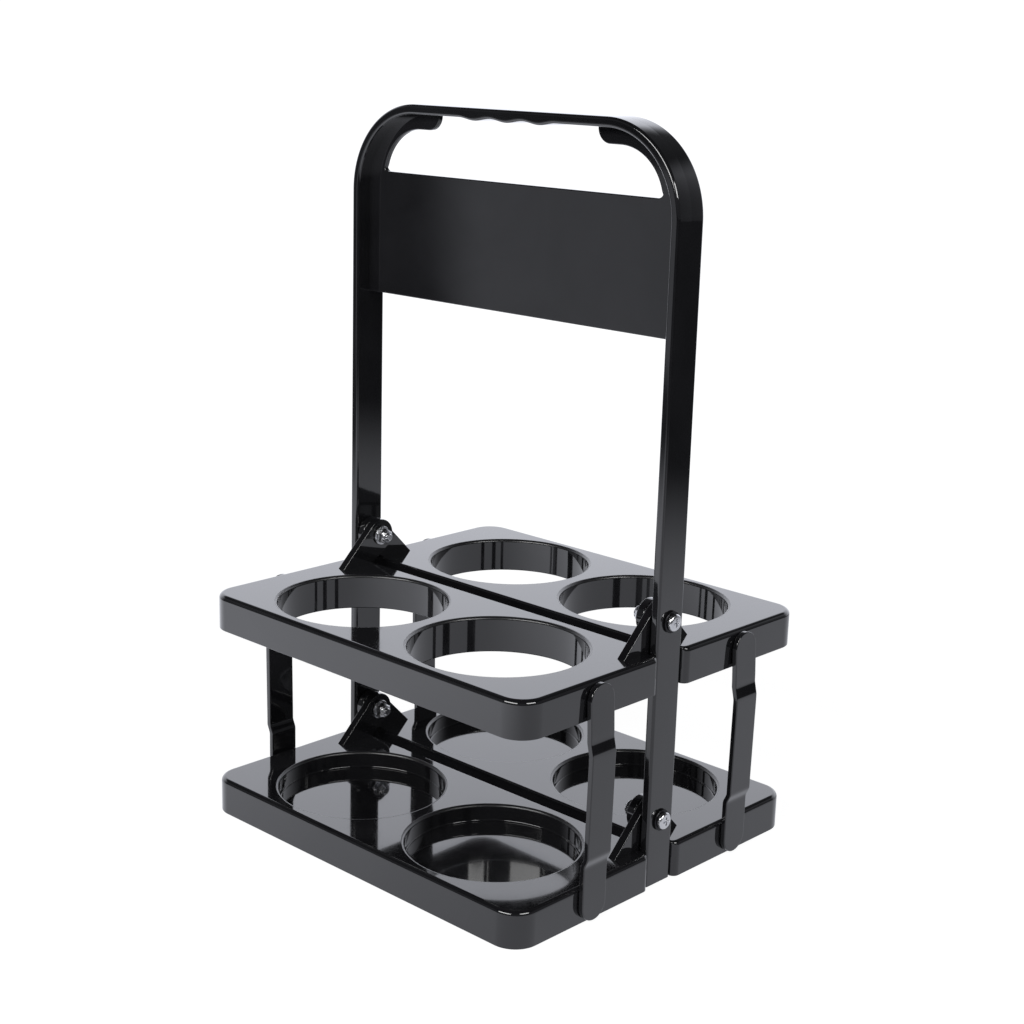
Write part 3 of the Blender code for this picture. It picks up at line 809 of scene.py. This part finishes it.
def figured(tree, place, operation, first, second):
    """Two numbers put together by one sum."""
    made = tree.nodes.new("ShaderNodeMath")
    made.location = (place[0] * 200, place[1] * 200)
    made.operation = operation
    for socket, value in zip(made.inputs, (first, second)):
        if isinstance(value, bpy.types.NodeSocket):
            tree.links.new(value, socket)
        else:
            socket.default_value = value
    return made.outputs[0]


def along_way(tree, place, vector, way):
    """How far a vector reaches along a fixed direction."""
    made = node(tree, "ShaderNodeVectorMath", place, operation="DOT_PRODUCT")
    tree.links.new(vector, made.inputs[0])
    made.inputs[1].default_value = way
    return made.outputs["Value"]


world = bpy.data.worlds.new("studio")
bpy.context.scene.world = world
world.use_nodes = True
tree = world.node_tree
tree.nodes.clear()
direction = node(tree, "ShaderNodeTexCoord", (-6, 0)).outputs["Generated"]
rise = along_way(tree, (-5, 1), direction, (0, 0, 1))
behind = along_way(tree, (-5, -1), direction, backdrop_way)
# The backdrop is bright beyond the carrier and ends below a dark ceiling
sweep = ranged(tree, (-4, -1), behind, *backdrop_turn, *backdrop_levels)
room = figured(tree, (-3, 0), "MULTIPLY", sweep, ranged(tree, (-4, 1), rise, 0.45, 0.6, 1, 0.05))
rays = node(tree, "ShaderNodeLightPath", (-4, 3))
white = figured(tree, (-3, 2), "MULTIPLY", rays.outputs["Is Camera Ray"], white_level)
level = figured(tree, (-2, 0), "MAXIMUM", room, white)
sky = node(tree, "ShaderNodeBackground", (-1, 0), Color=(0.9, 0.92, 1, 1), Strength=level)
tree.links.new(sky.outputs[0], node(tree, "ShaderNodeOutputWorld", (0, 0)).inputs["Surface"])

floor_mesh = bpy.data.meshes.new("floor")
turn = np.linspace(0, 2 * math.pi, floor_corners, endpoint=False)
rim_points = floor_radius * np.stack([np.cos(turn), np.sin(turn), 0 * turn], axis=1)
floor_mesh.from_pydata(rim_points.tolist(), [], [list(range(floor_corners))])
floor = bpy.data.objects.new("floor", floor_mesh)
bpy.context.scene.collection.objects.link(floor)
floor_paint = bpy.data.materials.new("white_sweep")
floor_paint.use_nodes = True
tree = floor_paint.node_tree
tree.nodes.clear()
spot = node(tree, "ShaderNodeTexCoord", (-9, 0)).outputs["Object"]
span = node(tree, "ShaderNodeVectorMath", (-8, 2), operation="LENGTH")
tree.links.new(spot, span.inputs[0])
apart = span.outputs["Value"]
leftward = along_way(tree, (-8, 0), spot, table_way)
away = along_way(tree, (-8, -1), spot, backdrop_way)
sideways = along_way(tree, (-8, -2), spot, (1, 0, 0))
forward = along_way(tree, (-8, -3), spot, (0, -1, 0))

# Painted light in the floor's glow: a lit white table round the carrier, brightest on the left and
# ending at its edges
brighter = ranged(tree, (-6, 0), leftward, -0.12, 0.42, 0.55, 1.05)
off_middle = figured(tree, (-7, -1), "ABSOLUTE", leftward, 0)
painted_table_light = figured(tree, (-5, 0), "MULTIPLY", brighter,
                ranged(tree, (-6, -1), off_middle, 0.5, 0.95, 1, 0.04))
painted_table_light = figured(tree, (-4, 0), "MULTIPLY", painted_table_light,
                ranged(tree, (-5, -1), away, -1.1, -0.5, 0.04, 1))

# The sweep beyond the table, as bright as the backdrop above it
facing = figured(tree, (-7, -5), "DIVIDE", away, apart)
far_sweep = ranged(tree, (-6, -5), facing, *backdrop_turn, *backdrop_levels)
beyond = ranged(tree, (-6, -6), away, 0.5, 0.9, 0, 1)
far_sweep = figured(tree, (-5, -5), "MULTIPLY", far_sweep, beyond)
painted_table_light = figured(tree, (-3, 0), "MAXIMUM", painted_table_light, far_sweep)

# A painted pool of light in front of the table, fading towards the right
bearing = figured(tree, (-7, -3), "DIVIDE", sideways, apart)
pool = figured(tree, (-5, -3), "MULTIPLY", ranged(tree, (-6, -2), bearing, -0.74, -0.70, 0, 0.42),
               ranged(tree, (-6, -3), bearing, -0.4, 0, 1, 0))
pool = figured(tree, (-4, -3), "MULTIPLY", pool, ranged(tree, (-6, -4), forward, 0.9, 1.2, 0, 1))
pool = figured(tree, (-4, -4), "MULTIPLY", pool, ranged(tree, (-6, -7), apart, 4.6, 5.4, 1, 0))
mirrored_level = figured(tree, (-3, -2), "MAXIMUM", painted_table_light, pool)

# White as seen, a little brighter far off, and faintly blue in its mirror image only
rays = node(tree, "ShaderNodeLightPath", (-7, 4))
seen = rays.outputs["Is Camera Ray"]
white = figured(tree, (-5, 3), "MULTIPLY", seen, ranged(tree, (-6, 2), apart, 0.25, 0.9, 1.06, 1.2))
level = figured(tree, (-2, 0), "MAXIMUM", mirrored_level, white)
red = figured(tree, (-4, 4), "MAXIMUM", seen, 0.9)
green = figured(tree, (-4, 3), "MAXIMUM", seen, 0.92)
shade = node(tree, "ShaderNodeCombineColor", (-3, 3), Red=red, Green=green, Blue=1)
glow = node(tree, "ShaderNodeEmission", (-1, 1), Color=shade.outputs["Color"],
            Strength=figured(tree, (-2, 2), "MULTIPLY", level, glow_share))
# The matt grey is a share of the same level, so it carries the painted light, and the painted shade
# beyond the table, too
matt = figured(tree, (-2, -2), "MULTIPLY", level, paint_share)
grey = node(tree, "ShaderNodeCombineColor", (-2, -1), Red=matt, Green=matt, Blue=matt)
paint = node(tree, "ShaderNodeBsdfDiffuse", (-1, -1), Color=grey.outputs["Color"])
both = node(tree, "ShaderNodeAddShader", (0, 0))
tree.links.new(glow.outputs[0], both.inputs[0])
tree.links.new(paint.outputs[0], both.inputs[1])
tree.links.new(both.outputs[0], node(tree, "ShaderNodeOutputMaterial", (1, 0)).inputs["Surface"])
floor_mesh.materials.append(floor_paint)


def set_facing(right, up, back, place):
    """A matrix whose columns are the right, up and back ways and the place."""
    matrix = Matrix.Identity(4)
    for column, way in enumerate((right, up, back, place)):
        for row in range(3):
            matrix[row][column] = way[row]
    return matrix


def way_back(turn, tilt):
    """The unit vector back from the carrier, turned to the right and then tilted up."""
    level = math.cos(tilt)
    return np.array([math.sin(turn) * level, -math.cos(turn) * level, math.sin(tilt)])


def soft_box(name, azimuth, elevation, distance, width, height, brightness):
    """A rectangular lamp facing the carrier, its power the brightness times pi times its area."""
    lamp = bpy.data.lights.new(name, "AREA")
    lamp.shape = "RECTANGLE"
    lamp.size, lamp.size_y = width, height
    lamp.energy = brightness * math.pi * width * height
    turn, tilt = math.radians(azimuth), math.radians(elevation)
    back = way_back(turn, tilt)
    right = np.array([math.cos(turn), math.sin(turn), 0])
    placed = bpy.data.objects.new(name, lamp)
    placed.matrix_world = set_facing(right, np.cross(back, right), back, lamp_aim + distance * back)
    placed.visible_camera = False
    bpy.context.scene.collection.objects.link(placed)


soft_box("left_soft_box", 2, 31, 1.3, 1.1, 0.3, 8)
soft_box("right_soft_box", 82, 33, 1.3, 0.7, 0.3, 8)

yaw, pitch, roll = camera_turns
back = way_back(yaw, pitch)
level_right = np.array([math.cos(yaw), math.sin(yaw), 0])
level_up = np.cross(back, level_right)
lens = bpy.data.cameras.new("camera")
lens.sensor_width = 36
lens.lens = lens.sensor_width * focal_pixels / picture_width
lens.clip_start, lens.clip_end = 0.05, 100
camera = bpy.data.objects.new("camera", lens)
camera.matrix_world = set_facing(
    math.cos(roll) * level_right + math.sin(roll) * level_up,
    math.cos(roll) * level_up - math.sin(roll) * level_right,
    back, camera_place)
bpy.context.scene.collection.objects.link(camera)
bpy.context.scene.camera = camera
bpy.context.scene.view_settings.view_transform = "Standard"
